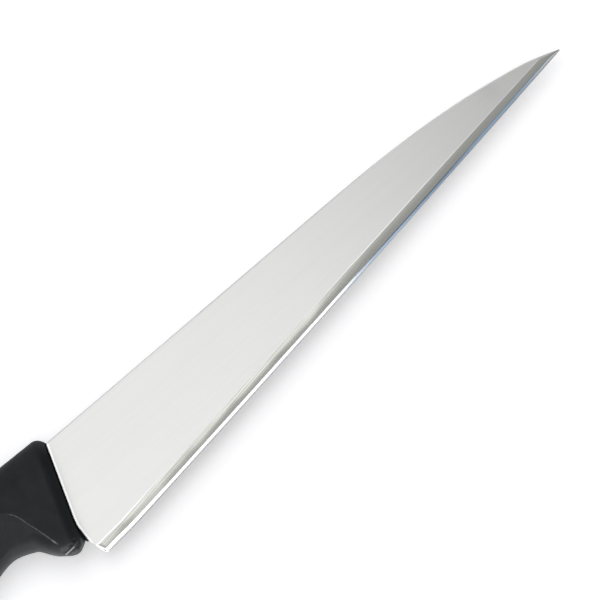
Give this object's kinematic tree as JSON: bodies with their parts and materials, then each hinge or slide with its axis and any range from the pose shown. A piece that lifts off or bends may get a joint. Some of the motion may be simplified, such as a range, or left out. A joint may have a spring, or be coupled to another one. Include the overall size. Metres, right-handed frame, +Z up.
{
  "type": "sashimi knife",
  "caption": "Right-handed single-bevel slicing knife: long flat-backed steel blade, moulded black handle with a finger guard and a finger groove.",
  "frame": {"origin": "the middle of the knife's outline, on the surface that it lies on with its bevelled face up", "axes": "+X along the straight part of the spine, from the butt to the tip; +Y from the edge towards the spine; +Z up, out of the bevelled face"},
  "size_m": [0.3296, 0.044, 0.018],
  "materials": {
    "ground_steel": "satin",
    "grained_black": "matte",
    "collar_black": "satin",
    "core_grey": "satin",
    "pin_steel": "satin"
  },
  "bodies": {
    "root": {"blade": "ground_steel", "grip_skin": "grained_black", "front_collar": "collar_black", "core_right": "core_grey", "core_left": "core_grey", "tang_pin_front": "pin_steel", "tang_pin_middle": "pin_steel", "tang_pin_rear": "pin_steel"}
  },
  "joints": []
}
